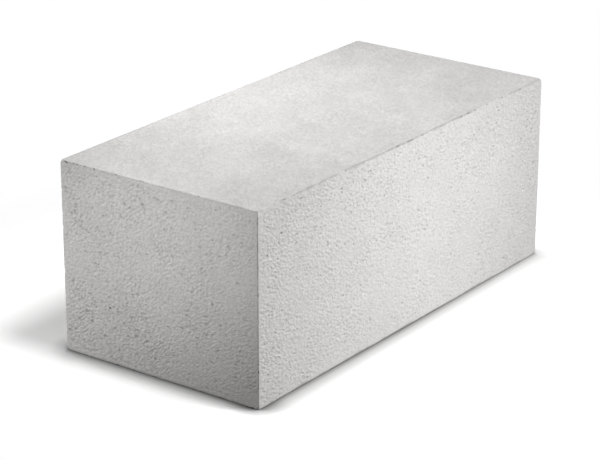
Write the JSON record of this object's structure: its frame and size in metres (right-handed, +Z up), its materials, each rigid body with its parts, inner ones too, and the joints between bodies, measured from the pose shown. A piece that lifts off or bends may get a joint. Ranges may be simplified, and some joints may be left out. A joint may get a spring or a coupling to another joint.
{
  "type": "aerated concrete block",
  "caption": "Plain rectangular aerated concrete wall block with sawn faces, fine open pores and lightly worn arrises, laid in thin mortar beds to build walls.",
  "frame": {"origin": "middle of the lower bed face", "axes": "+X along the block's length, +Y through the wall's thickness, +Z up"},
  "size_m": [0.625, 0.3, 0.25],
  "materials": {
    "aerated_concrete": "matte"
  },
  "bodies": {
    "root": {"block": "aerated_concrete"}
  },
  "joints": []
}
